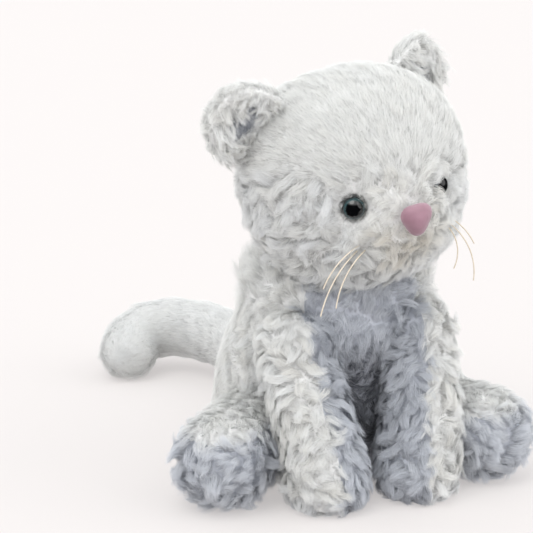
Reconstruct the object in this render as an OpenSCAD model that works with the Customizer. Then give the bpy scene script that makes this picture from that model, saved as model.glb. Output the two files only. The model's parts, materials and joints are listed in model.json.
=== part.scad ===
// Seated plush cat: a long-pile sewn toy with loose limbs, a turning head, plastic eyes and a padded nose.
// Millimetres. +Z is up, the cat faces -Y and +X is the cat's own left. The origin is on the floor, under
// the seat. Each furry cover is as thick as its backing cloth and its lying pile together.

/* [Head] */
// Height of the head's middle above the floor
head_z = 175; // [174:1:178]
// How far the head looks to the cat's left, in degrees
head_turn = 9; // [5:1:14]
// How far the head leans to the cat's right, in degrees
head_lean = 8; // [0:1:9]
// Half the width of the head
head_half_w = 64; // [61:0.5:65]
// How far the muzzle swells out of the face
muzzle_swell = 13; // [10:0.5:14]
// Diameter of the plastic eyes
eye_d = 12.5; // [11:0.5:13.5]
// Distance from one eye to the other, across the face
eye_gap = 56; // [54:1:59]
// Width of the padded nose
nose_w = 19; // [16:0.5:21]
// Width of an ear at its root
ear_w = 50; // [46:1:54]
// Height of an ear from its root
ear_h = 29; // [26:1:33]
// Angle at which the ears stand above the sides of the head, in degrees
ear_rise = 38; // [34:1:44]

/* [Body] */
// Half the width of the body at the seat
seat_half_w = 70; // [68:0.5:71]
// Radius of the round top of the body, which the head is sewn on
neck_r = 56; // [54:0.5:57]
// Thickness of backing and pile together, on every furry cover
cover_t = 7; // [5:0.5:8]

/* [Limbs] */
// Diameter of a hind foot
hind_foot_d = 54; // [52:1:55]
// Angle of the right hind leg, out from straight ahead, in degrees
hind_right_out = 43; // [40:1:50]
// Angle of the left hind leg, out from straight ahead, in degrees
hind_left_out = 34; // [34:1:45]
// Thickness of the tail
tail_d = 33; // [29:0.5:34]
// Gap between parts that move on each other
joint_gap = 0.5; // [0.5:0.1:0.6]

/* [Hidden] */

seam_gap = 0.4;          // between two covers, where their edges are sewn together
fill_gap = 0.8;          // between a cover and the stuffing inside it
white = [0.90, 0.91, 0.90];
grey = [0.66, 0.68, 0.72];
filling = [0.97, 0.96, 0.93];

// ---------------------------------------------------------------- points and surfaces

function unit(v) = v / norm(v);
function steps(from, to, count) = [for (i = [0:count]) from + (to - from) * i / count];

// A point moved inwards by depth, straight towards a middle point.
function inwards(p, middle, depth) = p - unit(p - middle) * depth;

// The faces of a grid of points. Seen from outside, its columns run to the right as its rows run up.
function quad(a, b, c, d) = [[a, c, b], [a, d, c]];

// A closed solid through a stack of rings with the same number of points.
module ring_stack(rings) {
    n = len(rings[0]);
    top = len(rings) - 1;
    polyhedron(
        points = [for (ring = rings) each ring],
        faces = [
            [for (i = [0:n - 1]) i],
            [for (i = [n - 1:-1:0]) top * n + i],
            for (r = [0:top - 1], i = [0:n - 1])
                each quad(r * n + i, r * n + (i + 1) % n, (r + 1) * n + (i + 1) % n, (r + 1) * n + i)
        ]
    );
}

// A cover piece: the space between an outer and an inner grid of points, with its edges closed.
// A piece that goes all the way round joins its last column to its first.
module cover(outer, inner, all_round = false) {
    rows = len(outer);
    cols = len(outer[0]);
    layer = rows * cols;
    turns = all_round ? cols : cols - 1;
    polyhedron(
        points = [for (grid = [outer, inner]) for (row = grid) each row],
        faces = [
            for (r = [0:rows - 2], c = [0:turns - 1])
                let (a = r * cols + c, b = r * cols + (c + 1) % cols)
                each concat(quad(a, b, b + cols, a + cols),
                            quad(layer + b, layer + a, layer + a + cols, layer + b + cols)),
            for (c = [0:turns - 1])
                let (a = c, b = (c + 1) % cols, up = (rows - 1) * cols)
                each concat(quad(layer + a, layer + b, b, a),
                            quad(up + a, up + b, layer + up + b, layer + up + a)),
            if (!all_round) for (r = [0:rows - 2])
                let (a = r * cols, b = a + cols - 1)
                each concat(quad(layer + a, a, a + cols, layer + a + cols),
                            quad(layer + b, layer + b + cols, b + cols, b))
        ]
    );
}

// A ball of flat facets, with its poles along a direction.
module facet_ball(middle, r, pole = [0, 0, 1], around = 24) {
    side = unit(cross(abs(pole[2]) < 0.9 ? [0, 0, 1] : [0, 1, 0], pole));
    rise = cross(pole, side);
    ring_stack([
        for (lat = [-84:12:84])
            [for (a = steps(0, 360, around)) if (a < 359.9)
                middle + pole * r * sin(lat) + (side * cos(a) + rise * sin(a)) * r * cos(lat)]
    ]);
}

// ---------------------------------------------------------------- body

neck_pivot = [0, 2, 86];             // centre of the body's round top: the head turns and nods about it
shoulder = [35.5, -36, 86];            // centre of a front leg's round top
shoulder_r = 22.5;
hip = [44, -2, 33];                  // centre of a hind leg's round inner end
hip_r = 25;
tail_root = [0, 70, 44];             // centre of the tail's round root
tail_root_r = 16;
swing_gap = 0.9;                     // round ends with flat facets take a wider gap than the joint's
body_around = 30;

// Height, middle in Y, half width, depth to the front and depth to the back, from under the seat upwards.
body_rows = concat(
    [[0, 10, 5, 4, 5], [0, 10, 40, 30, 36], [0, 10, seat_half_w - 9, 41, 50],
     [4, 10, seat_half_w - 3, 45, 55], [14, 10, seat_half_w, 47, 57], [34, 10, seat_half_w, 48, 58],
     [56, 9, seat_half_w - 2, 46, 57], [72, 7, seat_half_w - 4.5, 47, 57], [84, 4, neck_r + 5, 50, 57]],
    [for (lat = [10, 22, 34, 46, 58, 70, 80, 87])
        let (r = neck_r * cos(lat)) [neck_pivot[2] + neck_r * sin(lat), neck_pivot[1], r, r, r]]
);
body_middle = [0, 8, 62];

function body_point(row, a) =
    let (deep = sin(a) < 0 ? row[3] : row[4]) [row[2] * cos(a), row[1] + deep * sin(a), row[0]];
function body_grid(from, to, count, depth) = [
    for (row = body_rows) [for (a = steps(from, to, count)) inwards(body_point(row, a), body_middle, depth)]
];

// Everything that moves in a hollow of the body's surface, grown by the clearance it needs.
module body_hollows() {
    for (side = [-1, 1]) {
        front_leg_solid(side, joint_gap);
        shoulder_way(side);
        facet_ball([side * hip[0], hip[1], hip[2]], hip_r + joint_gap);
        hind_way(side, side > 0 ? hind_left_out : hind_right_out);
    }
    facet_ball(tail_root, tail_root_r + swing_gap);
}

// Angles go round from the cat's left side: 90 is the middle of the back and 270 the middle of the front.
chest_from = 232;
chest_to = 308;

module body_panel(from, to) {
    count = round((to - from) * body_around / 360);
    half_seam = seam_gap / 2;
    difference() {
        cover(body_grid(from + half_seam, to - half_seam, count, 0),
              body_grid(from + half_seam, to - half_seam, count, cover_t));
        body_hollows();
    }
}
module torso_back_right() { color(white) body_panel(90, chest_from); }
module torso_back_left() { color(white) body_panel(chest_to - 360, 90); }
module torso_chest() { color(grey) body_panel(chest_from, chest_to); }
module torso_stuffing() {
    color(filling) difference() {
        ring_stack([
            for (row = body_rows)
                [for (i = [0:body_around - 1])
                    inwards(body_point(row, i * 360 / body_around), body_middle, cover_t + fill_gap)]
        ]);
        body_hollows();
    }
}

// ---------------------------------------------------------------- head

head_middle = [1, -24, head_z];
neck_axis = unit(head_middle - neck_pivot);
face_turn = [0, -head_lean, head_turn];
upper_r = 62;                        // head's middle to the crown
lower_r = 59;                        // and to the throat
face_r = 54;                         // and to the bridge of the nose
nape_r = 53;                         // and to the back of the head
squareness = 2.4;                    // 2 gives an oval face, more gives a squarer one
muzzle_dip = 13;                     // how far below straight ahead the muzzle points
muzzle_spread = 20;
gusset_half = 20;                    // half the angle that the middle strip of the head takes
pole_gap = 2;

// The head's own frame: the face looks along -Y, before the head leans and turns.
module on_head() { translate(head_middle) rotate(face_turn) children(); }

round_head = [for (i = [0:29]) -12 * i];

// Across is the angle towards the cat's left. Round runs from the nose over the crown to the nape.
function head_way(across, round_a) =
    [sin(across), -cos(across) * cos(round_a), cos(across) * sin(round_a)];
function head_radius(way) =
    let (
        deep = way[1] < 0 ? face_r : nape_r,
        tall = way[2] > 0 ? upper_r : lower_r,
        off = acos(min(1, way * head_way(0, -muzzle_dip)))
    )
    1 / norm([pow(pow(abs(way[0] / head_half_w), squareness) + pow(abs(way[2] / tall), squareness),
                  1 / squareness), way[1] / deep])
        + muzzle_swell * exp(-off * off / (2 * muzzle_spread * muzzle_spread));
function head_point(across, round_a, depth) =
    let (way = head_way(across, round_a)) way * (head_radius(way) - depth);

module neck_hollow() {
    facet_ball(neck_pivot, neck_r + joint_gap, neck_axis, 36);
}
module head_panel(rows, cols, all_round = false) {
    difference() {
        on_head() cover(
            [for (across = rows) [for (a = cols) head_point(across, a, 0)]],
            [for (across = rows) [for (a = cols) head_point(across, a, cover_t)]],
            all_round
        );
        neck_hollow();
    }
}
module head_side(side) {
    start = gusset_half + seam_gap / 2;
    ways = concat(steps(start, 78, 5), [90 - pole_gap]);
    last = len(ways) - 1;
    rows = [for (i = [0:last]) side > 0 ? ways[i] : -ways[last - i]];
    color(white) difference() {
        head_panel(rows, round_head, true);
        eye_hollow(side);
    }
}
module eye_hollow(side) {
    on_head() at_eye(side) {
        translate([0, 0, -cover_t]) cylinder(h = 2 * cover_t, d = eye_d + 1, $fn = 12);
        translate([0, 0, -3 * cover_t]) cylinder(h = 3 * cover_t, d = post_d + 1, $fn = 12);
    }
}
brow_start = -8;                     // where the middle strip starts, just under the nose
module head_gusset() {
    color(white) head_panel(steps(-gusset_half, gusset_half, 4), steps(262, brow_start, 27));
}
module head_chin() {
    color(white) head_panel(steps(-gusset_half, gusset_half, 4),
                            steps(brow_start - seam_gap, -84, 8));
}
module head_stuffing() {
    color(filling) difference() {
        on_head() ring_stack([
            for (across = concat([pole_gap - 90], steps(-78, 78, 13), [90 - pole_gap]))
                [for (a = round_head) head_point(across, a, cover_t + fill_gap)]
        ]);
        neck_hollow();
        for (side = [-1, 1]) eye_hollow(side);
    }
}

// A ring of strong thread, which closes the seam between the head and the body.
thread_d = 1.2;
module neck_stitches() {
    ring_lat = 44;
    ring_r = neck_r + thread_d / 2 + 0.2;
    lean = acos(neck_axis[2]);
    color("gainsboro") translate(neck_pivot)
        rotate(a = lean, v = cross([0, 0, 1], neck_axis))
        translate([0, 0, ring_r * sin(ring_lat)])
        rotate_extrude($fn = 96) translate([ring_r * cos(ring_lat), 0]) circle(d = thread_d, $fn = 16);
}

// ---------------------------------------------------------------- eyes

eye_height = 1.5;                    // in degrees above the head's middle
post_d = 4;
post_l = 15;
dome_rise = 4.5;
eye_sink = 4;                        // how deep the flat back of the eye lies under the pile's surface
pupil_d = 8.4;                       // diameter of the black pupil

head_depth = 59;                     // from the head's middle to an eye

// Where an eye sits: its axis points straight out of the face, and Z = 0 is the flat back of the dome.
module at_eye(side) {
    across = asin(side * eye_gap / 2 / head_depth);
    way = head_way(across, eye_height);
    translate(way * (head_radius(way) - eye_sink))
        rotate([0, 0, across]) rotate([90 - eye_height, 0, 0]) children();
}
// The clear coloured dome: a low cap over a short round edge, hollow behind the pupil.
module eye_dome(side) {
    cap_r = (pow(eye_d / 2, 2) + pow(dome_rise, 2)) / (2 * dome_rise);
    color("darkslategray") on_head() at_eye(side) difference() {
        intersection() {
            translate([0, 0, dome_rise + 1 - cap_r]) sphere(r = cap_r, $fn = 64);
            cylinder(h = 2 * dome_rise, d = eye_d, $fn = 64);
        }
        translate([0, 0, -1]) cylinder(h = 2.4, d = pupil_d + 0.2, $fn = 48);
    }
}
// The black post: its round head is the pupil, and its ribbed shank goes through the cloth.
module eye_post(side) {
    color("black") on_head() at_eye(side) {
        translate([0, 0, 0.1]) cylinder(h = 1.1, d = pupil_d, $fn = 48);
        translate([0, 0, -post_l]) cylinder(h = post_l + 0.1, d = post_d, $fn = 32);
        for (i = [1:3]) translate([0, 0, -3 * i - 2]) cylinder(h = 0.8, d = post_d + 0.6, $fn = 32);
    }
}
// The toothed lock washer that grips the post behind the cloth.
module eye_washer(side) {
    washer_d = 12;
    color("ivory") on_head() at_eye(side) translate([0, 0, -13.2]) difference() {
        cylinder(h = 1.2, d = washer_d, $fn = 48);
        translate([0, 0, -1]) cylinder(h = 4, d = post_d + 0.2, $fn = 32);
    }
}
// ---------------------------------------------------------------- nose and whiskers

nose_drop = 7;                       // under the head's middle
nose_rows = [[0, 0.94], [1.5, 1.02], [4, 0.98], [6, 0.78], [7.4, 0.45], [8, 0.12]];
nose_around = 24;

// A rounded triangle with its flat side up, at a distance out from the muzzle.
function nose_ring(out, size) = [
    for (i = [0:nose_around - 1])
        let (a = 360 * i / nose_around, r = size * nose_w / 2 * (0.93 + 0.12 * cos(3 * (a + 90))))
        [r * cos(a), r * sin(a), out]
];
module at_nose() {
    way = unit([0, -face_r - muzzle_swell, -nose_drop]);
    on_head() translate(way * (head_radius(way) + 0.3)) rotate([90 + muzzle_dip / 2, 0, 0]) children();
}
module nose_cover() {
    cloth_t = 0.8;
    color("rosybrown") at_nose() cover(
        [for (row = nose_rows) nose_ring(row[0], row[1])],
        [for (row = nose_rows) nose_ring(max(cloth_t, row[0] - cloth_t), row[1] - 2 * cloth_t / nose_w)],
        true
    );
}
module nose_stuffing() {
    color(filling) at_nose() ring_stack([
        for (row = nose_rows) nose_ring(max(1, row[0] - 1.2), max(0.05, row[1] - 0.2))
    ]);
}

// One whisker: a thin bristle that starts at a droop angle and bends down on an arc.
bristle_d = 0.7;
module whisker(droop, bend_r, sweep) {
    rotate([0, droop, 0]) translate([0, 0, -bend_r]) rotate([90, 0, 0]) rotate([0, 0, 90 - sweep])
        rotate_extrude(angle = sweep, $fn = 60) translate([bend_r, 0]) circle(d = bristle_d, $fn = 12);
}
// Three bristles on one cheek. Each one: height and angle across of its root, how far it turns to the front,
// its droop at the root, its bend and the length of its arc.
left_bristles = [[-20, 30, 0, 34, 40, 36], [-23, 27, 18, 48, 22, 74], [-24.5, 31, 32, 42, 36, 62]];
right_bristles = [[-20, 26, -8, 20, 46, 39], [-23, 23, 4, 26, 44, 47], [-24.5, 27, 8, 24, 58, 41]];
module whiskers(side) {
    bristles = side > 0 ? left_bristles : right_bristles;
    color("wheat") on_head() for (b = bristles) {
        way = head_way(side * b[1], b[0]);
        translate(way * (head_radius(way) - 1)) rotate([0, 0, side > 0 ? -b[2] : 180 + b[2]])
            whisker(b[3], b[4], b[5]);
    }
}

// ---------------------------------------------------------------- ears

ear_left_behind = 14;                // how far the left ear stands behind the side of the head
ear_right_ahead = 4;                 // and how far the right ear stands in front of it
ear_out = 28;                        // how far the ears face outwards
ear_clear = 1.6;                     // from the head's surface to an ear's root
ear_cup = 9;                         // depth of the ear's hollow

// The ear's frame: X along the root, Y out of its back and Z from root to tip.
function ear_way(side) =
    let (behind = side > 0 ? ear_left_behind : -ear_right_ahead)
    [side * cos(ear_rise) * cos(behind), cos(ear_rise) * sin(behind), sin(ear_rise)];
function ear_face(side) =
    let (out = [side * sin(ear_out), -cos(ear_out), 0]) unit(out - ear_way(side) * (out * ear_way(side)));
function ear_place(side, p) =
    let (way = ear_way(side), face = ear_face(side))
    way * (head_radius(way) + ear_clear + p[2]) - cross(way, face) * p[0] - face * p[1];

// A point of the ear's sheet: u runs from edge to edge, v from root to tip, layer across the thickness.
function ear_point(u, v, layer) =
    let (
        half = ear_w / 2 * sqrt(1 - pow(v * 0.96, 2.6)),
        x = u * half * (0.88 + 0.12 * v),
        root_dip = pow(x, 2) / (2 * head_half_w) * (1 - v),
        thick = 1.2 + 6.8 * min(1, v * 3.2) * (1 - 0.55 * pow(abs(u), 3)) * (1 - 0.5 * pow(v, 4))
    )
    [x, ear_cup * ((1 - pow(2 * x / ear_w, 2)) * sin(90 * min(1, 1.6 * v)) - 0.5 * v) + layer * thick,
     v * ear_h - root_dip];
module ear_sheet(side, near, far) {
    us = steps(1, -1, 8);
    vs = [0, 0.12, 0.28, 0.46, 0.64, 0.8, 0.92, 1];
    on_head() cover(
        [for (v = vs) [for (u = us) ear_place(side, ear_point(u, v, far))]],
        [for (v = vs) [for (u = us) ear_place(side, ear_point(u, v, near))]]
    );
}
module ear_back(side) { color(white) ear_sheet(side, 0.05, 1); }
module ear_front(side) { color(grey) ear_sheet(side, -0.85, -0.05); }

// ---------------------------------------------------------------- front legs

leg_around = 20;
// Height, middle in X and Y, half width and half depth, from the sole upwards to the round shoulder.
leg_rows = concat(
    [[0, 27.5, -60, 2, 3], [0, 27.5, -60, 19, 21], [3, 27.5, -60, 22.5, 24],
     [11, 27.5, -60, 24.5, 26], [22, 28, -60, 24, 25.5], [34, 29.5, -57, 23.3, 24.5],
     [48, 31.5, -52, 23, 23.5], [62, 33.5, -46, 22.7, 23], [75, 35, -40, shoulder_r, 22.7]],
    [for (lat = [-8, 10, 28, 46, 64, 78, 87])
        let (r = shoulder_r * cos(lat))
        [shoulder[2] + shoulder_r * sin(lat), shoulder[0], shoulder[1], r, r]]
);

// A point of a front leg, moved in towards the leg's middle line by depth, or out by a negative one.
function leg_point(row, side, a, depth) =
    let (
        above = row[0] - shoulder[2],
        z = above > 0 ? row[0] - above * depth / shoulder_r : max(row[0], depth),
        share = max(0.1, 1 - depth / max(8, min(row[3], row[4])))
    )
    [side * (row[1] + row[3] * share * cos(a)), row[2] + row[4] * share * sin(a), z];
function leg_ring(row, side, depth) =
    [for (i = [0:leg_around - 1]) leg_point(row, side, side * 360 * i / leg_around, depth)];

// A front leg grown by a clearance.
module front_leg_solid(side, grow) {
    ring_stack([for (row = leg_rows) if (row[0] > 0) leg_ring(row, side, -grow)]);
}
// The room that the round top of a front leg takes in the body as the leg swings forwards and up.
front_swing = 60;                    // how far a front leg swings, in degrees
module shoulder_way(side) {
    middle = [side * shoulder[0], shoulder[1], shoulder[2]];
    facet_ball(middle, shoulder_r + swing_gap);
    for (swing = [front_swing / 3, front_swing * 2 / 3, front_swing])
        translate(middle) rotate([-swing, 0, 0]) translate(-middle)
        ring_stack([for (row = leg_rows) if (row[0] > 40 && row[0] <= shoulder[2]) leg_ring(row, side, -joint_gap)]);
}
// The room a front leg takes beside a hind leg, as it starts to swing forwards.
module front_way(side) {
    start_swing = 14;
    hull() for (forward = [0, start_swing]) translate([0, -forward, 0]) front_leg_solid(side, joint_gap);
}
// Half of a front leg's cover, from one angle round to another.
module leg_cover(side, from, to) {
    ways = steps(from + seam_gap / 2, to - seam_gap / 2, leg_around / 2);
    cols = [for (i = [0:leg_around / 2]) ways[side > 0 ? i : leg_around / 2 - i]];
    cover([for (row = leg_rows) [for (a = cols) leg_point(row, side, a, 0)]],
          [for (row = leg_rows) [for (a = cols) leg_point(row, side, a, cover_t)]]);
}
leg_seam = 264;                      // where the seam runs down the front of a leg
module leg_outer(side) { color(white) leg_cover(side, leg_seam - 360, leg_seam - 180); }
module leg_inner(side) { color(grey) leg_cover(side, leg_seam - 180, leg_seam); }
module leg_stuffing(side) {
    color(filling) ring_stack([for (row = leg_rows) leg_ring(row, side, cover_t + fill_gap)]);
}

// ---------------------------------------------------------------- hind legs

foot_reach = 54;                     // from the hip to the middle of the foot
hind_r = 21;
foot_r = hind_foot_d / 2;
// Distance out from the hip and radius there: the round inner end, the leg, then the foot.
hind_rows = concat(
    [for (lat = [-84:14:14]) [hip_r * sin(lat), hip_r * cos(lat)]],
    [[14, 21.8], [22, hind_r], [30, hind_r]],
    [for (lat = [-46, -34, -20, -5, 10, 25, 40, 55, 70, 84])
        [foot_reach + foot_r * sin(lat), foot_r * cos(lat)]]
);
cover_rows = 10;                     // rows that belong to the leg's white cover

// A point of a hind leg that points out at the given angle, moved in by depth.
function hind_point(row, a, side, out, depth) =
    let (
        end_shift = row[0] < 0 ? row[0] * (1 - depth / hip_r)
            : row[0] > foot_reach ? foot_reach + (row[0] - foot_reach) * (1 - depth / foot_r) : row[0],
        r = row[1] * max(0.15, 1 - depth / max(row[1], 14)),
        drop = (hip[2] - foot_r - 0.2) * min(1, max(0, end_shift / foot_reach))
    )
    [side * (hip[0] + end_shift * sin(out) + r * cos(a) * cos(out)),
     hip[1] - end_shift * cos(out) + r * cos(a) * sin(out),
     max(0, hip[2] - drop + r * sin(a))];
function hind_ring(row, side, out, depth) =
    [for (i = [0:leg_around - 1]) hind_point(row, side * -360 * i / leg_around, side, out, depth)];
function rows_between(first, last) = [for (i = [first:last]) hind_rows[i]];

module hind_cover(side, out, rows) {
    cover([for (row = rows) hind_ring(row, side, out, 0)],
          [for (row = rows) hind_ring(row, side, out, cover_t)], true);
}
function seam_row(step) = hind_rows[cover_rows] + [step, 0];
module hind_leg_cover(side, out) {
    color(white) difference() {
        hind_cover(side, out, concat(rows_between(0, cover_rows - 1), [seam_row(-seam_gap)]));
        front_way(side);
    }
}
module hind_leg_foot(side, out) {
    color(grey) difference() {
        hind_cover(side, out, rows_between(cover_rows, len(hind_rows) - 1));
        front_way(side);
    }
}
module hind_leg_stuffing(side, out) {
    color(filling) difference() {
        ring_stack([for (row = hind_rows) hind_ring(row, side, out, cover_t + fill_gap)]);
        front_way(side);
    }
}
// The room a hind leg takes as it splays outwards.
splay = 30;
module hind_way(side, out) {
    hull() for (turn = [0, splay])
        ring_stack([for (row = hind_rows) if (row[0] > -1) hind_ring(row, side, out + turn, -joint_gap)]);
}

// ---------------------------------------------------------------- tail

// The tail's middle line, from its root to where it curls over and rests on the floor.
tail_line = [
    [0, 84, 40], [1, 102, 33], [1, 124, 27], [-1, 146, 24], [-5, 168, 24], [-12, 190, 26],
    [-24, 208, 28], [-40, 220, 29], [-56, 223, 27], [-68, 218, 22], [-74, 210, 17.5]
];
tail_around = 18;
tail_r = tail_d / 2;
tail_whole = [for (k = [0:tail_around - 1]) 360 * k / tail_around];

// A ring across the tail, at the given angles.
function ring_across(middle, along, r, ways) =
    let (side = unit(cross([0, 0, 1], along)), rise = cross(along, side))
    [for (a = ways) let (p = middle - side * r * cos(a) + rise * r * sin(a)) [p[0], p[1], max(0, p[2])]];
function tail_ring(i, r, shift, ways) =
    let (
        last = len(tail_line) - 1,
        along = unit(tail_line[min(i + 1, last)] - tail_line[max(i - 1, 0)])
    )
    ring_across(tail_line[i] + along * shift, along, r, ways);
function root_ring(lat, depth, ways) =
    let (along = unit(tail_line[0] - tail_root), r = tail_root_r - depth)
    ring_across(tail_root + along * r * sin(lat), along, r * cos(lat), ways);
// The whole tail at a depth under its surface: round root, slim start, full middle and round tip.
function tail_rings(depth, ways) = concat(
    [for (lat = [-80, -60, -40, -20, 0, 20]) root_ring(lat, depth, ways)],
    [for (i = [0:len(tail_line) - 1]) tail_ring(i, tail_r - (i == 0 ? 1.5 : 0) - depth, 0, ways)],
    [for (lat = [25, 50, 70, 86])
        tail_ring(len(tail_line) - 1, (tail_r - depth) * cos(lat), (tail_r - depth) * sin(lat), ways)]
);
module tail_half(from) {
    edge = 1;                        // degrees that each half stops short of the seam
    ways = steps(from + edge, from + 180 - edge, tail_around / 2);
    cover(tail_rings(0, ways), tail_rings(cover_t, ways));
}
module tail_top() { color(white) tail_half(0); }
module tail_under() { color(white) tail_half(180); }
module tail_stuffing() { color(filling) ring_stack(tail_rings(cover_t + fill_gap, tail_whole)); }

// ---------------------------------------------------------------- every node

torso_back_left();
torso_back_right();
torso_chest();
torso_stuffing();
neck_stitches();
head_side(1);  // head_side_left
head_side(-1);  // head_side_right
head_gusset();
head_chin();
head_stuffing();
ear_back(1);  // ear_left_back
ear_front(1);  // ear_left_front
ear_back(-1);  // ear_right_back
ear_front(-1);  // ear_right_front
eye_dome(1);  // eye_dome_left
eye_dome(-1);  // eye_dome_right
eye_post(1);  // eye_post_left
eye_post(-1);  // eye_post_right
eye_washer(1);  // eye_washer_left
eye_washer(-1);  // eye_washer_right
nose_cover();
nose_stuffing();
whiskers(1);  // whiskers_left
whiskers(-1);  // whiskers_right
leg_outer(1);  // front_leg_left_outer
leg_inner(1);  // front_leg_left_inner
leg_stuffing(1);  // front_leg_left_stuffing
leg_outer(-1);  // front_leg_right_outer
leg_inner(-1);  // front_leg_right_inner
leg_stuffing(-1);  // front_leg_right_stuffing
hind_leg_cover(1, hind_left_out);  // hind_leg_left_cover
hind_leg_foot(1, hind_left_out);  // hind_leg_left_foot
hind_leg_stuffing(1, hind_left_out);  // hind_leg_left_stuffing
hind_leg_cover(-1, hind_right_out);  // hind_leg_right_cover
hind_leg_foot(-1, hind_right_out);  // hind_leg_right_foot
hind_leg_stuffing(-1, hind_right_out);  // hind_leg_right_stuffing
tail_top();
tail_under();
tail_stuffing();
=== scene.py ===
"""Looks of the seated plush cat: soft skins over the CAD covers, and a long pile of real strands on each.

Metres, in the CAD frame: +Z up, the cat faces -Y, +X is its own left.
"""

import json
import math

import bmesh
import bpy
import numpy as np
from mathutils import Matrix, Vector
from mathutils.bvhtree import BVHTree
from mathutils.kdtree import KDTree


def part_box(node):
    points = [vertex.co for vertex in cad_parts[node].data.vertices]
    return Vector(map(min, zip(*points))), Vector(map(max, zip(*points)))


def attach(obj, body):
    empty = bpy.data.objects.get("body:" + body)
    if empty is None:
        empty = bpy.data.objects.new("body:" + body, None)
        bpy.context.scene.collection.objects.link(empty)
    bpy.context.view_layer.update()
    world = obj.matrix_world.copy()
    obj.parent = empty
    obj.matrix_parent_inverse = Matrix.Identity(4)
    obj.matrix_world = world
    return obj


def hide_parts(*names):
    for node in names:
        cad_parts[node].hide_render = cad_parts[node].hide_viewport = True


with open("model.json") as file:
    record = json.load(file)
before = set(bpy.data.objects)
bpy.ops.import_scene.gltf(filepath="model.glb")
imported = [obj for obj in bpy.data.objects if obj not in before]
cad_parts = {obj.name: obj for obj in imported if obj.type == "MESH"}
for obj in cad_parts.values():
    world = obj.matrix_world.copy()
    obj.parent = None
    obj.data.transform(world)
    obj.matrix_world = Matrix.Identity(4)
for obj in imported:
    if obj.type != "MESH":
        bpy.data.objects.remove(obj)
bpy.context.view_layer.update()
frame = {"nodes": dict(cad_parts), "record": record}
NODES = frame["nodes"]
RNG = np.random.default_rng(7)
MM = 0.001

# ------------------------------------------------------------------ camera

AZIMUTH, ELEVATION = -19.7, 14  # degrees
DISTANCE = 1.100
LENS = 128.9
TARGET = Vector((0, 0, 0.127))
SHIFT_X, SHIFT_Y = -0.130, -0.020  # the photograph's frame is not centred on the cat
NEAREST, FARTHEST = 0.01, 100


def direction(azimuth, elevation):
    """Unit vector at these angles in degrees: azimuth 0 is in front of the cat, 90 on its left."""
    a, e = math.radians(azimuth), math.radians(elevation)
    return Vector((math.sin(a) * math.cos(e), -math.cos(a) * math.cos(e), math.sin(e)))


def make_camera():
    back = direction(AZIMUTH, ELEVATION)
    data = bpy.data.cameras.new("camera")
    data.lens = LENS
    data.shift_x, data.shift_y = SHIFT_X, SHIFT_Y
    data.clip_start, data.clip_end = NEAREST, FARTHEST
    camera = bpy.data.objects.new("camera", data)
    camera.location = TARGET + back * DISTANCE
    camera.rotation_mode = "QUATERNION"
    camera.rotation_quaternion = (-back).to_track_quat("-Z", "Y")
    bpy.context.scene.collection.objects.link(camera)
    bpy.context.scene.camera = camera


make_camera()

# ------------------------------------------------------------------ materials


class Nodes:
    """A short way to write a material's nodes."""

    def __init__(self, name):
        self.material = bpy.data.materials.new(name)
        self.material.use_nodes = True
        self.tree = self.material.node_tree
        self.shader = self.tree.nodes["Principled BSDF"]

    def add(self, kind, **values):
        node = self.tree.nodes.new(kind)
        for key, value in values.items():
            if key in node.inputs:
                node.inputs[key].default_value = value
            else:
                setattr(node, key.lower(), value)
        return node

    def link(self, a, out, b, into):
        self.tree.links.new(a.outputs[out], b.inputs[into])

    def ramp(self, source, out, stops):
        node = self.tree.nodes.new("ShaderNodeValToRGB")
        self.tree.links.new(source.outputs[out], node.inputs["Fac"])
        for i, (place, colour) in enumerate(stops):
            stop = node.color_ramp.elements[i] if i < 2 else node.color_ramp.elements.new(place)
            stop.position = place
            stop.color = (*colour, 1)
        return node

    def noise(self, scale, detail):
        where = self.add("ShaderNodeTexCoord")
        node = self.add("ShaderNodeTexNoise", Scale=scale, Detail=detail, Roughness=0.5)
        self.link(where, "Object", node, "Vector")
        return node

    def bump(self, source, out, strength, distance):
        node = self.add("ShaderNodeBump", Strength=strength, Distance=distance)
        self.link(source, out, node, "Height")
        self.link(node, "Normal", self.shader, "Normal")

    def plain(self, **values):
        for key, value in values.items():
            self.shader.inputs[key.replace("_", " ")].default_value = value


def grey(v):
    return (v, v, v)


# One strip of colour for all pile: across it the tone goes from cream over white to grey and then to near
# black, the darkest stops being painted shade; up it from root to tip, the root darker as painted shade
# deep in the pile.
TONES = [
    (0.00, (0.78, 0.73, 0.65)),
    (0.12, (0.86, 0.84, 0.79)),
    (0.30, (0.92, 0.925, 0.91)),
    (0.50, (0.84, 0.855, 0.875)),
    (0.72, (0.72, 0.745, 0.785)),
    # painted shade: this stop and the last stand for shade in hollows
    (0.86, (0.50, 0.515, 0.55)),
    (1.00, (0.10, 0.105, 0.12)),
]
WHITE, GREY = 0.30, 0.72  # the places of the two plushes on the strip
# Darker at the root: painted shade deep in the pile.
ROOT_SHADE_TO_TIP = [(0.0, grey(0.60)), (0.4, grey(0.90)), (1.0, grey(1.0))]
SEEN_THROUGH = 0.45  # share of the light that goes through a strand


def pile_material():
    n = Nodes("pile")
    where = n.add("ShaderNodeUVMap")
    where.uv_map = "OFBake"
    split = n.add("ShaderNodeSeparateXYZ")
    n.link(where, "UV", split, "Vector")
    mix = n.add("ShaderNodeMix")
    mix.data_type, mix.blend_type = "RGBA", "MULTIPLY"
    mix.inputs["Factor"].default_value = 1.0
    n.link(n.ramp(split, "X", TONES), "Color", mix, "A")
    n.link(n.ramp(split, "Y", ROOT_SHADE_TO_TIP), "Color", mix, "B")
    n.link(mix, "Result", n.shader, "Base Color")
    n.plain(Roughness=0.7, Specular_IOR_Level=0.15)
    thin = n.add("ShaderNodeBsdfTranslucent")
    n.link(mix, "Result", thin, "Color")
    both = n.add("ShaderNodeMixShader")
    both.inputs["Fac"].default_value = SEEN_THROUGH
    n.link(n.shader, "BSDF", both, 1)
    n.link(thin, "BSDF", both, 2)
    n.link(both, "Shader", n.tree.nodes["Material Output"], "Surface")
    return n.material


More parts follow.
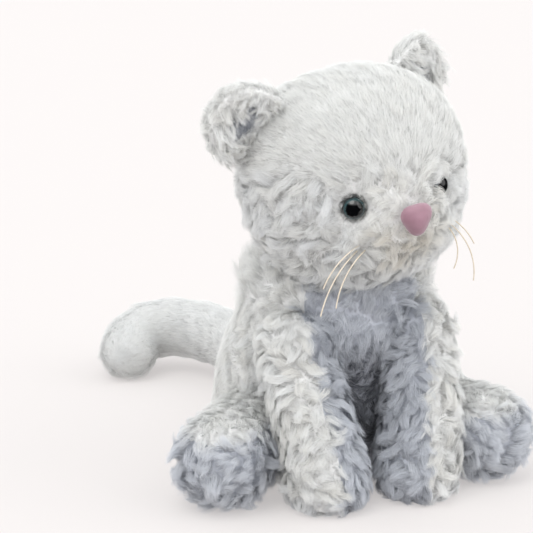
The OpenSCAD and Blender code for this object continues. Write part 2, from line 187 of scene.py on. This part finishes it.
def cloth_material(name, dark, light):
    n = Nodes(name)
    noise = n.noise(260, 4)
    ramp = n.ramp(noise, "Fac", [(0.35, dark), (0.65, light)])
    n.link(ramp, "Color", n.shader, "Base Color")
    n.plain(Roughness=0.9)
    n.bump(noise, "Fac", 0.6, 0.0008)
    return n.material


PILE = pile_material()
WHITE_CLOTH = cloth_material("white_cloth", (0.74, 0.74, 0.73), (0.84, 0.84, 0.83))
GREY_CLOTH = cloth_material("grey_cloth", (0.44, 0.46, 0.51), (0.54, 0.56, 0.61))

# ------------------------------------------------------------------ meshes


def outline_of(names):
    """Vertices and triangles of several CAD nodes together."""
    points, faces = [], []
    for name in names:
        mesh = NODES[name].data
        mesh.calc_loop_triangles()
        start = len(points)
        points += [tuple(v.co) for v in mesh.vertices]
        faces += [tuple(start + i for i in t.vertices) for t in mesh.loop_triangles]
    return points, faces


def new_object(name, points, faces):
    mesh = bpy.data.meshes.new(name)
    mesh.from_pydata(points, [], faces)
    mesh.update()
    obj = bpy.data.objects.new(name, mesh)
    bpy.context.scene.collection.objects.link(obj)
    return obj


def applied(obj):
    """The object with its modifiers made part of its mesh."""
    graph = bpy.context.evaluated_depsgraph_get()
    mesh = bpy.data.meshes.new_from_object(obj.evaluated_get(graph))
    obj.modifiers.clear()
    old, obj.data = obj.data, mesh
    bpy.data.meshes.remove(old)
    return obj


def envelope(name, names, voxel, smooth, hull=False):
    """One smooth closed surface around several CAD nodes: how far the pile reaches."""
    points, faces = outline_of(names)
    obj = new_object(name, points, faces)
    if hull:
        b = bmesh.new()
        b.from_mesh(obj.data)
        made = bmesh.ops.convex_hull(b, input=b.verts)
        outside = set(made["geom"])
        loose = [v for v in b.verts if not v.link_faces]
        bmesh.ops.delete(b, geom=loose, context="VERTS")
        drop = [f for f in b.faces if f not in outside]
        bmesh.ops.delete(b, geom=drop, context="FACES")
        b.to_mesh(obj.data)
        b.free()
    remesh = obj.modifiers.new("remesh", "REMESH")
    remesh.mode, remesh.voxel_size = "VOXEL", voxel
    soft = obj.modifiers.new("soft", "SMOOTH")
    soft.iterations, soft.factor = smooth, 0.5
    return applied(obj)


def coords(mesh):
    flat = np.zeros(len(mesh.vertices) * 3, np.float32)
    mesh.vertices.foreach_get("co", flat)
    return flat.reshape(-1, 3).astype(float)


def normals(mesh):
    flat = np.zeros(len(mesh.vertices) * 3, np.float32)
    mesh.vertex_normals.foreach_get("vector", flat)
    return flat.reshape(-1, 3).astype(float)


def triangles(mesh):
    mesh.calc_loop_triangles()
    flat = np.zeros(len(mesh.loop_triangles) * 3, np.int32)
    mesh.loop_triangles.foreach_get("vertices", flat)
    return flat.reshape(-1, 3)


def shade_smooth(mesh):
    mesh.polygons.foreach_set("use_smooth", np.ones(len(mesh.polygons), bool))


def unit(v):
    return v / np.maximum(np.linalg.norm(v, axis=-1, keepdims=True), 1e-9)


# ------------------------------------------------------------------ smooth noise, the same on every run

WAVE_COUNT = 9


def waves(p, key, length):
    """A smooth field of three values per point: a sum of sine waves of about that length."""
    rng = np.random.default_rng(sum(map(ord, key)))
    way = unit(rng.normal(size=(WAVE_COUNT, 3))) * (2 * math.pi / length)
    way = way * rng.uniform(0.7, 1.4, (WAVE_COUNT, 1))
    phase = rng.uniform(0, 2 * math.pi, (WAVE_COUNT, 3))
    lean = unit(rng.normal(size=(WAVE_COUNT, 3)))
    turn = p @ way.T
    total = sum(lean[i] * np.sin(turn[:, i : i + 1] + phase[i]) for i in range(WAVE_COUNT))
    return total / math.sqrt(WAVE_COUNT / 2)


# ------------------------------------------------------------------ pile

SEGMENTS = 4
TAPER = (1.0, 1.0, 0.85, 0.6, 0.12)  # width of a strand at its root, its joints and its tip
STRAND_WIDTH = 0.16 * MM
PILE_LENGTH = 10.5  # mm
PIECE_STRANDS = 24000  # the most strands in one piece
SHORTEST = 1  # mm; where the look asks for less, nothing grows
LOWEST = 0.4 * MM  # no strand goes nearer to the floor
HIDDEN_DEPTH = 4 * MM  # nothing grows this deep inside another body

BEND_RATE = 1.5  # a strand has bent over completely at 1 / BEND_RATE of its length
SIDE_WAVE = 7.0  # radians of wave from side to side along one strand
GATHER_POWER = 0.8

# How uneven the pile is: between locks, and between the strands of one lock.
WIDE_WAVE, SMALL_WAVE = 24 * MM, 9 * MM
SMALL_TURN, LOCK_TURN, STRAND_TURN = 0.9, 0.6, 0.22
LENGTH_LEAST, LENGTH_BY_LOCK, LENGTH_BY_STRAND = 0.66, 0.46, 0.16
LIFT_LEAST, LIFT_BY_STRAND, LIFT_RANGE = 0.5, 0.04, (0.02, 0.95)
CURL_LEAST, FULL_TURN = 0.4, 6.28
TILT = 0.7  # radians either way about the strand's own line
WIDTH_RANGE = 0.7, 1.25
TONE_BY_LOCK, TONE_BY_STRAND = 0.10, 0.04
CALM_SHARE = 0.3  # share of the uneven tone that stays where the pile is combed straight

SLOTS = {row["node"]: row["material_slot"] for row in frame["record"]["subparts"]}


def tangent(v, ups):
    return v - ups * np.sum(v * ups, axis=1, keepdims=True)


def nearest_points(points, seeds):
    """Index of the nearest seed for each point."""
    tree = KDTree(len(seeds))
    for i, s in enumerate(seeds):
        tree.insert(s, i)
    tree.balance()
    return np.array([tree.find(p)[1] for p in points])


def nearest_node(points, names):
    """For each point, which of the CAD nodes is nearest to it."""
    far = np.full((len(names), len(points)), 1e9)
    if len(names) > 1:
        for i, name in enumerate(names):
            tree = BVHTree.FromPolygons(*outline_of([name]))
            far[i] = [tree.find_nearest(Vector(q))[3] for q in points]
    return far.argmin(0)


class Style:
    """How the pile lies at some points.

    length and inset are in millimetres; lift, swirl, clump and curl are shares; shade moves the tone
    along the strip, up it to grey and on to the near black of painted shade, down it to cream; whiten (0
    to 1) moves it to white, which is the ears' own white and, on the tops of the hind feet, painted
    light.
    """

    def __init__(
        self, points, comb, length=PILE_LENGTH, lift=0.22, swirl=0.9, clump=0.42, curl=0.5, inset=2.4
    ):
        n = len(points)

        def each(v):
            return np.broadcast_to(np.asarray(v, float), (n,)).copy()

        self.comb = np.broadcast_to(np.asarray(comb, float), (n, 3)).copy()
        self.length, self.inset = each(length), each(inset)
        self.lift, self.swirl, self.clump, self.curl = each(lift), each(swirl), each(clump), each(curl)
        self.shade, self.whiten = each(0), each(0)


def skin(name, cad, look, hull=False, voxel=2.5, smooth=8):
    """The cloth under the pile: the smooth envelope of the CAD solids, moved in by the look's inset."""
    obj = envelope(name, cad, voxel * MM, smooth, hull)
    reach, up = coords(obj.data), normals(obj.data)
    inset = look(reach, up).inset * MM
    moved = reach - up * inset[:, None]
    obj.data.vertices.foreach_set("co", moved.astype(np.float32).ravel())
    obj.data.update()
    soft = obj.modifiers.new("soft", "SMOOTH")
    soft.iterations, soft.factor = 4, 0.5
    applied(obj)
    shade_smooth(obj.data)
    return obj, up


def scatter(obj, up, count_per_mm2):
    """Random places on the skin: point and normal."""
    base, faces = coords(obj.data), triangles(obj.data)
    a, b, c = (base[faces[:, i]] for i in range(3))
    area = np.linalg.norm(np.cross(b - a, c - a), axis=1) / 2
    count = int(area.sum() / MM**2 * count_per_mm2)
    pick = RNG.choice(len(area), count, p=area / area.sum())
    u, v = RNG.random((2, count, 1))
    flip = (u + v) > 1
    u, v = np.where(flip, 1 - u, u), np.where(flip, 1 - v, v)
    point = a[pick] * (1 - u - v) + b[pick] * u + c[pick] * v
    na, nb, nc = (up[faces[pick, i]] for i in range(3))
    return point, unit(na * (1 - u - v) + nb * u + nc * v)


def bend_over(points, ups, lay, length, lift, curl, phase):
    """Lines of the strands: out along the normal, then over to their lay, waving from side to side."""
    side = unit(np.cross(ups, lay))
    lines = np.zeros((SEGMENTS + 1, len(points), 3))
    lines[0] = points
    for i in range(1, SEGMENTS + 1):
        mid = (i - 0.5) / SEGMENTS
        rise = lift + (1 - lift) * (1 - min(BEND_RATE * mid, 1)) ** 2
        way = ups * rise[:, None] + lay * (1 - rise[:, None])
        way = unit(way) + side * (curl * np.cos(phase + mid * SIDE_WAVE))[:, None]
        lines[i] = lines[i - 1] + unit(way) * (length / SEGMENTS)[:, None]
    return lines, side


def gather(lines, locks, lock_count, clump):
    """Pulls the strands of each lock together towards the lock's own middle line, more at the tips."""
    share = np.maximum(np.bincount(locks, minlength=lock_count), 1)
    for i in range(1, SEGMENTS + 1):
        middles = np.stack(
            [np.bincount(locks, lines[i, :, k], minlength=lock_count) / share for k in range(3)], axis=1
        )
        pull = clump * (i / SEGMENTS) ** GATHER_POWER
        lines[i] += (middles[locks] - lines[i]) * pull[:, None]
    return lines


def ribbons(lines, side, width, tone):
    """Flat tapering ribbons along lines: vertices, quads and the pile's UV for each corner."""
    steps, count = lines.shape[:2]
    half = side[None] * width[None, :, None] / 2 * np.array(TAPER)[:, None, None]
    verts = np.concatenate([(lines - half), (lines + half)])
    index = np.arange(steps * count).reshape(steps, count)
    other = index + steps * count
    quads = np.stack([index[:-1], index[1:], other[1:], other[:-1]], axis=-1).reshape(-1, 4)
    t = np.linspace(0, 1, steps)
    low = np.broadcast_to(t[:-1, None], (steps - 1, count))
    high = np.broadcast_to(t[1:, None], (steps - 1, count))
    v = np.stack([low, high, high, low], axis=-1)
    u = np.broadcast_to(tone[None, :, None], v.shape)
    return verts.reshape(-1, 3), quads, np.stack([u, v], axis=-1).reshape(-1, 2)


def strand_object(name, verts, quads, uv):
    mesh = bpy.data.meshes.new(name)
    mesh.vertices.add(len(verts))
    mesh.vertices.foreach_set("co", verts.astype(np.float32).ravel())
    mesh.loops.add(len(quads) * 4)
    mesh.loops.foreach_set("vertex_index", quads.astype(np.int32).ravel())
    mesh.polygons.add(len(quads))
    mesh.polygons.foreach_set("loop_start", np.arange(0, len(quads) * 4, 4, dtype=np.int32))
    mesh.update(calc_edges=True)
    layer = mesh.uv_layers.new(name="OFBake")
    layer.data.foreach_set("uv", np.clip(uv, 0.01, 0.99).astype(np.float32).ravel())
    shade_smooth(mesh)
    mesh.materials.append(PILE)
    obj = bpy.data.objects.new(name, mesh)
    bpy.context.scene.collection.objects.link(obj)
    return obj


def dress(obj, zones, look):
    """White or grey cloth on the skin, by the nearest cover."""
    obj.data.materials.append(WHITE_CLOTH)
    obj.data.materials.append(GREY_CLOTH)
    centres = np.array([p.center for p in obj.data.polygons])
    style = look(centres, np.array([p.normal for p in obj.data.polygons]))
    is_grey = np.array([SLOTS[z] == "grey_plush" for z in zones])[nearest_node(centres, zones)]
    # Where the look whitens the pile the cloth is white too: the ears' own white, and the painted light
    # on the tops of the hind feet.
    is_grey &= style.whiten < 0.5
    obj.data.polygons.foreach_set("material_index", is_grey.astype(np.int32))


def inside_of(points, names):
    """True where a point lies well inside the hull of the named CAD nodes."""
    if not names:
        return np.zeros(len(points), bool)
    hull = envelope("hull", names, hull=True, voxel=5 * MM, smooth=2)
    co, faces = coords(hull.data), triangles(hull.data)
    tree = BVHTree.FromPolygons([tuple(c) for c in co], [tuple(f) for f in faces])
    bpy.data.objects.remove(hull)
    found = [tree.find_nearest(Vector(p)) for p in points]
    return np.array(
        [(Vector(p) - at).dot(way) < -HIDDEN_DEPTH for p, (at, way, _, _) in zip(points, found)]
    )


def coat(
    name, body, cad, look, zones, density=3.0, lock_area=28, stands_for=(), under=(), **shape
):
    """A skin over the CAD solids, and on it one piece of pile for each furry cover in zones.

    density is the strands per mm2 and lock_area the mm2 under one lock; nothing grows inside the nodes
    named by under.
    """
    obj, up = skin(name, cad, look, **shape)
    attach(obj, body)
    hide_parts(*stands_for)
    dress(obj, zones, look)
    points, ups = scatter(obj, up, density)
    seeds, seed_ups = scatter(obj, up, 1 / lock_area)
    keep = (look(points, ups).length > SHORTEST) & ~inside_of(points, under)
    points, ups = points[keep], ups[keep]
    style, seed_style = look(points, ups), look(seeds, seed_ups)
    n = len(points)
    locks = nearest_points(points, seeds)
    lock = RNG.random((len(seeds), 4))[locks]
    turn = waves(seeds, "wide", WIDE_WAVE) + SMALL_TURN * waves(seeds, "small", SMALL_WAVE)
    turn = turn + LOCK_TURN * RNG.normal(size=seeds.shape)
    lay = unit(seed_style.comb) + seed_style.swirl[:, None] * turn
    lay = unit(tangent(lay[locks] + STRAND_TURN * RNG.normal(size=(n, 3)), ups))
    length = LENGTH_LEAST + LENGTH_BY_LOCK * lock[:, 0] + LENGTH_BY_STRAND * RNG.random(n)
    length = style.length * MM * length
    lift = style.lift * (LIFT_LEAST + lock[:, 1]) + LIFT_BY_STRAND * RNG.normal(size=n)
    lift = np.clip(lift, *LIFT_RANGE)
    curl = style.curl * (CURL_LEAST + lock[:, 2])
    lines, side = bend_over(points, ups, lay, length, lift, curl, FULL_TURN * lock[:, 3])
    lines = gather(lines, locks, len(seeds), style.clump)
    lines[..., 2] = np.maximum(lines[..., 2], LOWEST)
    tilt = RNG.uniform(-TILT, TILT, n)[:, None]
    side = unit(side * np.cos(tilt) + ups * np.sin(tilt))
    wide = STRAND_WIDTH * RNG.uniform(*WIDTH_RANGE, n)
    home = nearest_node(points, zones)
    base = np.array([GREY if SLOTS[z] == "grey_plush" else WHITE for z in zones])[home]
    base = base + (WHITE - base) * style.whiten
    uneven = TONE_BY_LOCK * (lock[:, 1] - 0.5) + TONE_BY_STRAND * RNG.normal(size=n)
    calm = CALM_SHARE + (1 - CALM_SHARE) * np.clip(style.swirl, 0, 1)
    tone = base + style.shade + calm * uneven
    for i, zone in enumerate(zones):
        mine = np.flatnonzero(home == i)
        mine = mine[np.argsort(points[mine, 2], kind="stable")]
        shares = np.array_split(mine, max(1, math.ceil(len(mine) / PIECE_STRANDS)))
        for k, part in enumerate(shares):
            shapes = ribbons(lines[:, part], side[part], wide[part], tone[part])
            pile = strand_object(f"{zone}_pile_{k + 1}", *shapes)
            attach(pile, body)
            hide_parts(zone)


# ------------------------------------------------------------------ where things are


def middle(*names):
    low = np.min([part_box(n)[0] for n in names], axis=0)
    high = np.max([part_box(n)[1] for n in names], axis=0)
    return (low + high) / 2


def smooth_step(x, start, end):
    t = np.clip((x - start) / (end - start), 0, 1)
    return t * t * (3 - 2 * t)


def apart(points, centre):
    return np.linalg.norm(points - centre, axis=1)


HEAD = middle("head_side_left", "head_side_right", "head_gusset")
NOSE = middle("nose_cover")
LEFT_EYE, RIGHT_EYE = middle("eye_dome_left"), middle("eye_dome_right")
FACE = unit((NOSE - HEAD) * (1, 1, 0))
TO_LEFT = np.array([-FACE[1], FACE[0], 0])  # across the face, towards the cat's left
DOWN = np.array([0, 0, -1.0])

HEAD_COVERS = ["head_side_left", "head_side_right", "head_gusset", "head_chin"]
TORSO_COVERS = ["torso_back_left", "torso_back_right", "torso_chest"]
TORSO_BACKS = TORSO_COVERS[:2]
HEAD_SIDES = HEAD_COVERS[:2]

# ------------------------------------------------------------------ head

NO_PILE_BY_EYE, NO_PILE_BY_NOSE = 5.5, 8.0  # mm from the middle of each


def head_look(p, up):
    ahead = (p - HEAD) @ FACE / (60 * MM)
    high = (p[:, 2] - RIGHT_EYE[2] - 6 * MM) / (20 * MM)
    brow = smooth_step(high, 0, 1) * smooth_step(ahead, -0.7, 0.1)
    crown = smooth_step((p[:, 2] - HEAD[2]) / (30 * MM), 0.2, 1.1)
    short = np.maximum(brow, 0.8 * crown)
    throat = smooth_step((HEAD[2] - p[:, 2]) / (50 * MM), 0.55, 0.95)
    jowl = smooth_step(-((p - HEAD) @ TO_LEFT) / MM, 20, 55)
    jowl = jowl * smooth_step((HEAD[2] - p[:, 2]) / MM, 5, 45)
    s = Style(p, unit(tangent(p - NOSE, up)) + 0.35 * DOWN * (1 - short)[:, None])
    s.length = PILE_LENGTH - 2.0 * short
    s.inset = 1.6 - 3.2 * short + 4.0 * jowl
    s.lift = 0.22 - 0.17 * short - 0.05 * throat
    s.swirl = 1.1 - 1.03 * short - 0.4 * throat
    s.clump = 0.40 - 0.37 * short
    s.curl = 0.5 - 0.45 * short

    # The right eye is the one in full view: short pile combed away from it, standing up at its rim.
    from_eye = apart(p, RIGHT_EYE) / MM
    from_nose = apart(p, NOSE) / MM
    s.length *= 1 - 0.65 * (1 - smooth_step(from_eye, 5.0, 15.0))
    s.length *= smooth_step(from_nose, 9.0, 20.0) * 0.6 + 0.4
    nearest_eye = np.minimum(apart(p, LEFT_EYE) / MM, from_eye)
    s.length[(nearest_eye < NO_PILE_BY_EYE) | (from_nose < NO_PILE_BY_NOSE)] = 0
    share = 1 - smooth_step(from_eye, 9, 15)
    s.comb = s.comb * (1 - share)[:, None] + unit(tangent(p - RIGHT_EYE, up)) * share[:, None]
    s.swirl *= 1 - 0.8 * share
    s.lift += 0.6 * (1 - smooth_step(from_eye, 6.5, 10.5))

    # The muzzle is combed straighter and is creamier, most below the nose.
    s.swirl *= 0.55 + 0.45 * smooth_step(from_nose, 12, 22)
    warm = 1 - smooth_step(from_nose, 14, 44)
    below = smooth_step((NOSE[2] - p[:, 2]) / MM, 0, 14)
    # Away from the brow and crown the head's pile is painted a little darker as shade; around the muzzle
    # it turns cream, its own colour.
    s.shade = 0.05 * (1 - short) - (0.10 + 0.14 * below) * warm * (1 - 0.8 * short)
    return s


coat(
    "head_skin", "head", HEAD_COVERS + ["head_stuffing"], head_look, HEAD_COVERS,
    density=2.6, smooth=16, stands_for=["head_stuffing"], under=TORSO_BACKS,
)

EAR_OPENING = {"left": (7, 4), "right": (11, 6)}  # mm: half the width and height of the grey inside


def ear_look_for(side):
    back, front = (coords(NODES[f"ear_{side}_{part}"].data).mean(0) for part in ("back", "front"))
    root = (back + front) / 2
    out = unit(back - front)
    away = unit(root - HEAD)
    away = unit(away - out * (away @ out))
    across = np.cross(out, away)
    wide, deep = EAR_OPENING[side]

    def look(p, up):
        inside = smooth_step(-(up @ out), -0.2, 0.3)
        reach = (p - root) @ away / MM
        sideways = (p - root) @ across / MM
        open_part = 1 - smooth_step(np.hypot(sideways / wide, (reach + 3) / deep), 0.7, 1.15)
        inward = unit(-across * 0.4 * sideways[:, None] - away * (reach[:, None] + 4) + 6 * DOWN)
        s = Style(p, away * (1 - inside)[:, None] + inward * inside[:, None])
        s.length = 6.5 + 4.0 * inside * (1 - open_part)
        s.inset = 0.4 + 3.5 * inside * open_part
        s.lift = 0.08 + 0.2 * inside
        s.swirl = 0.12 + 0.7 * inside
        s.clump = 0.1 + 0.4 * inside
        s.curl = 0.1 + 0.3 * inside
        s.whiten = 1 - open_part
        return s

    return look


for side in ("left", "right"):
    parts = [f"ear_{side}_back", f"ear_{side}_front"]
    coat(
        f"ear_{side}_skin", f"ear_{side}", parts, ear_look_for(side), parts,
        voxel=1.3, smooth=3, lock_area=9,
    )

# ------------------------------------------------------------------ body


def torso_look(p, up):
    s = Style(p, DOWN)
    behind = smooth_step(p[:, 1] / MM, -12, 18)
    s.length = PILE_LENGTH - 2.0 * behind
    s.swirl = 1.1 - 0.95 * behind
    s.lift = 0.22 - 0.10 * behind
    s.clump = 0.42 - 0.25 * behind
    s.inset = 2.4 - 0.8 * behind

    # Low at the front the chest lies in the shadow between the front legs: the skin is set deeper, the
    # pile shorter, and the pile painted darker as shade.
    low = 1 - smooth_step(p[:, 2] / MM, 66, 96)
    front = smooth_step(-p[:, 1] / MM, 10, 25)
    s.inset += 5 * low * front
    s.length -= 3.5 * low * front
    s.shade = 0.24 * low * front

    # At the top the pile stands up over the seam of the neck.
    collar = smooth_step(p[:, 2] / MM, 100, 116)
    s.lift += 0.35 * collar
    s.inset -= 7.5 * collar
    s.length += 2 * collar
    s.comb = s.comb - 1.6 * collar[:, None] * DOWN
    s.length[p[:, 2] < 5 * MM] = 0
    return s


coat(
    "torso_skin", "torso", TORSO_COVERS, torso_look, TORSO_COVERS,
    density=1.7, hull=True, voxel=3.0, stands_for=["torso_stuffing"], under=HEAD_SIDES,
)

GAP_X = middle("front_leg_left_inner", "front_leg_right_inner")[0]  # between the front legs
SOLE_MIDDLES = np.array([[side * 27.5 * MM, -60 * MM, 0] for side in (-1, 1)])  # right, left


def front_leg_look(p, up):
    s = Style(p, DOWN, swirl=1.15)
    # Near the floor the pile is shorter and flatter, and painted darker as shade.
    sole = 1 - smooth_step(p[:, 2] / MM, 4, 16)
    s.length -= 3 * sole
    s.lift *= 1 - 0.8 * sole
    under = smooth_step(-up[:, 2], 0.5, 0.9)
    outward = unit((p - SOLE_MIDDLES[(p[:, 0] > GAP_X).astype(int)]) * (1, 1, 0))
    s.comb = s.comb + 3 * under[:, None] * outward
    # On the inner sides, facing the gap between the legs, the pile is shorter and painted darker as
    # shade, fading out between 70 and 95 mm up.
    gap = smooth_step(-up[:, 0] * np.sign(p[:, 0] - GAP_X), 0.5, 0.9) * smooth_step(p[:, 2] / MM, 30, 50)
    gap *= smooth_step(up[:, 1], -0.5, 0.0)
    s.length -= 3.0 * gap
    s.shade = 0.12 * sole + 0.16 * gap * (1 - smooth_step(p[:, 2] / MM, 70, 95))
    return s


def hind_leg_look_for(side):
    hip = middle(f"hind_leg_{side}_cover")
    foot = middle(f"hind_leg_{side}_foot")
    out = unit((foot - hip) * (1, 1, 0))

    def look(p, up):
        s = Style(p, out + 0.5 * DOWN, swirl=1.4, lift=0.27)
        # The faces turned up are whitened, with smoother shorter pile: painted light from above; the
        # other faces are a little lighter.
        top = smooth_step(up[:, 2], 0.35, 0.85)
        s.shade = -0.08 * (1 - top)
        s.whiten = 0.95 * top
        s.swirl -= 0.8 * top
        s.length -= 2.0 * top
        s.length[p[:, 2] < 3 * MM] = 0
        return s

    return look


for side in ("left", "right"):
    leg = f"front_leg_{side}"
    covers = [leg + "_outer", leg + "_inner"]
    coat(leg + "_skin", leg, covers, front_leg_look, covers, stands_for=[leg + "_stuffing"])
    leg = f"hind_leg_{side}"
    covers = [leg + "_cover", leg + "_foot"]
    coat(
        leg + "_skin", leg, covers, hind_leg_look_for(side), covers,
        hull=True, stands_for=[leg + "_stuffing"],
    )

TAIL_BEND = np.array([-0.045, 0.175])  # x and y of the middle the tail curls around


def tail_look(p, up):
    away = p[:, :2] - TAIL_BEND
    round_bend = unit(np.stack([-away[:, 1], away[:, 0], np.zeros(len(p))], axis=1))
    straight = (1 - smooth_step(p[:, 1] / MM, 130, 170))[:, None]
    comb = round_bend * (1 - straight) + np.array([0, 1.0, 0]) * straight
    s = Style(p, comb, length=9.0, lift=0.04, swirl=0.08, clump=0.12, curl=0.12, inset=-1.2)
    # The tail's pile is painted a little darker all over as shade.
    s.shade[:] = 0.05
    s.length[p[:, 2] < 2 * MM] = 0
    return s


coat(
    "tail_skin", "tail", ["tail_top", "tail_under"], tail_look, ["tail_top", "tail_under"],
    density=1.6, stands_for=["tail_stuffing"],
)

# ------------------------------------------------------------------ eyes, nose, whiskers, neck


def give(name, material):
    NODES[name].data.materials.clear()
    NODES[name].data.materials.append(material)


def main_axis(name):
    p = coords(NODES[name].data)
    return np.linalg.svd(p - p.mean(0), full_matrices=False)[2][0]


EYE_RADIUS = 6.5 * MM
PUPIL = (0.001, 0.001, 0.0015)
EYE_RINGS = [  # by the share of the radius
    (0.00, PUPIL),
    (0.69, PUPIL),
    (0.74, (0.008, 0.028, 0.032)),
    (0.84, (0.02, 0.055, 0.06)),
    (0.94, (0.004, 0.009, 0.01)),
]


def eye_material(side):
    """Gloss plastic: a black pupil inside a dark teal ring, by the distance from the eye's axis."""
    n = Nodes(f"eye_{side}")
    where = n.add("ShaderNodeTexCoord")
    shifted = n.add("ShaderNodeVectorMath", Operation="SUBTRACT")
    shifted.inputs[1].default_value = middle(f"eye_dome_{side}")
    n.link(where, "Object", shifted, 0)
    crossed = n.add("ShaderNodeVectorMath", Operation="CROSS_PRODUCT")
    crossed.inputs[1].default_value = main_axis(f"eye_post_{side}")
    n.link(shifted, "Vector", crossed, 0)
    length = n.add("ShaderNodeVectorMath", Operation="LENGTH")
    n.link(crossed, "Vector", length, 0)
    radius = n.add("ShaderNodeMath", Operation="MULTIPLY")
    radius.inputs[1].default_value = 1 / EYE_RADIUS
    n.link(length, "Value", radius, 0)
    ramp = n.ramp(radius, "Value", EYE_RINGS)
    n.link(ramp, "Color", n.shader, "Base Color")
    n.plain(Roughness=0.06, Coat_Weight=0.6)
    return n.material


def plastic(name, dark, light, roughness):
    n = Nodes(name)
    noise = n.noise(900, 3)
    ramp = n.ramp(noise, "Fac", [(0.3, dark), (0.7, light)])
    n.link(ramp, "Color", n.shader, "Base Color")
    n.plain(Roughness=roughness)
    n.bump(noise, "Fac", 0.1, 0.0001)
    return n.material


BLACK = plastic("black_plastic", (0.006, 0.006, 0.007), (0.012, 0.012, 0.013), 0.15)
WASHER = plastic("washer_plastic", (0.70, 0.69, 0.64), (0.80, 0.79, 0.74), 0.5)
BRISTLE = plastic("bristle", (0.60, 0.52, 0.40), (0.74, 0.66, 0.54), 0.35)
THREAD = plastic("thread", (0.60, 0.60, 0.58), (0.75, 0.75, 0.73), 0.8)
for side in ("left", "right"):
    give(f"eye_dome_{side}", eye_material(side))
    give(f"eye_post_{side}", BLACK)
    give(f"eye_washer_{side}", WASHER)
    give(f"whiskers_{side}", BRISTLE)
give("neck_stitches", THREAD)


def satin():
    n = Nodes("nose_satin")
    where = n.add("ShaderNodeTexCoord")
    weave = n.add("ShaderNodeTexWave", Scale=900.0, Distortion=2.0, Detail=2.0)
    n.link(where, "Object", weave, "Vector")
    soft = n.noise(120, 2)
    ramp = n.ramp(soft, "Fac", [(0.3, (0.27, 0.14, 0.18)), (0.7, (0.33, 0.175, 0.225))])
    n.link(ramp, "Color", n.shader, "Base Color")
    n.plain(Roughness=0.5, Sheen_Weight=0.5)
    n.bump(weave, "Fac", 0.25, 0.0002)
    return n.material


nose = envelope("nose_satin", ["nose_cover"], hull=True, voxel=0.7 * MM, smooth=6)
shade_smooth(nose.data)
nose.data.materials.append(satin())
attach(nose, "head")
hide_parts("nose_cover", "nose_stuffing")

# ------------------------------------------------------------------ floor and light

FLOOR = (0.330, 0.316, 0.309)
FLOOR_GLOW = (0.446, 0.430, 0.426)  # keeps the shadow on the paper as faint as it is in the photograph
FLOOR_UNEVEN = 1.005
FLOOR_HALF = 12


def floor():
    mesh = bpy.data.meshes.new("floor")
    corners = [(-1, -1), (1, -1), (1, 1), (-1, 1)]
    mesh.from_pydata([(x * FLOOR_HALF, y * FLOOR_HALF, 0) for x, y in corners], [], [(0, 1, 2, 3)])
    obj = bpy.data.objects.new("floor", mesh)
    n = Nodes("floor")
    noise = n.noise(3, 2)
    ramp = n.ramp(noise, "Fac", [(0.3, FLOOR), (0.7, tuple(c * FLOOR_UNEVEN for c in FLOOR))])
    n.link(ramp, "Color", n.shader, "Base Color")
    n.plain(
        Roughness=0.9, Specular_IOR_Level=0.0, Emission_Color=(*FLOOR_GLOW, 1), Emission_Strength=1.0
    )
    mesh.materials.append(n.material)
    bpy.context.scene.collection.objects.link(obj)
    obj.visible_glossy = False


def sun(name, strength, spread, azimuth, elevation, colour=(1, 1, 1)):
    """A sun at these angles in degrees, spread degrees wide."""
    light = bpy.data.lights.new(name, "SUN")
    light.energy, light.angle, light.color = strength, math.radians(spread), colour
    obj = bpy.data.objects.new(name, light)
    obj.rotation_mode = "QUATERNION"
    obj.rotation_quaternion = direction(azimuth, elevation).to_track_quat("Z", "Y")
    bpy.context.scene.collection.objects.link(obj)


SKY_COLOUR, SKY_STRENGTH = (0.97, 0.98, 1.0), 1.3
MIRRORED = [(0.45, 0.03), (0.70, 1.6)]  # height in the sky and how bright glossy things see it


def sky():
    """Even light all round; the eyes mirror a gradient instead, dark below and bright above."""
    world = bpy.data.worlds.new("studio")
    world.use_nodes = True
    tree = world.node_tree
    even = tree.nodes["Background"]
    even.inputs["Color"].default_value = (*SKY_COLOUR, 1)
    even.inputs["Strength"].default_value = SKY_STRENGTH
    mirrored = tree.nodes.new("ShaderNodeBackground")
    where = tree.nodes.new("ShaderNodeTexCoord")
    split = tree.nodes.new("ShaderNodeSeparateXYZ")
    tree.links.new(where.outputs["Generated"], split.inputs["Vector"])
    ramp = tree.nodes.new("ShaderNodeValToRGB")
    tree.links.new(split.outputs["Z"], ramp.inputs["Fac"])
    for stop, (place, bright) in zip(ramp.color_ramp.elements, MIRRORED):
        stop.position, stop.color = place, (*grey(bright), 1)
    tree.links.new(ramp.outputs["Color"], mirrored.inputs["Color"])
    path = tree.nodes.new("ShaderNodeLightPath")
    mix = tree.nodes.new("ShaderNodeMixShader")
    tree.links.new(path.outputs["Is Glossy Ray"], mix.inputs["Fac"])
    tree.links.new(even.outputs["Background"], mix.inputs[1])
    tree.links.new(mirrored.outputs["Background"], mix.inputs[2])
    tree.links.new(mix.outputs["Shader"], tree.nodes["World Output"].inputs["Surface"])
    bpy.context.scene.world = world


floor()
sky()
sun("key", 1.0, 40, -50, 60, (1.0, 0.99, 0.97))
sun("fill", 0.9, 60, 55, 25)
bpy.context.scene.view_settings.view_transform = "Standard"
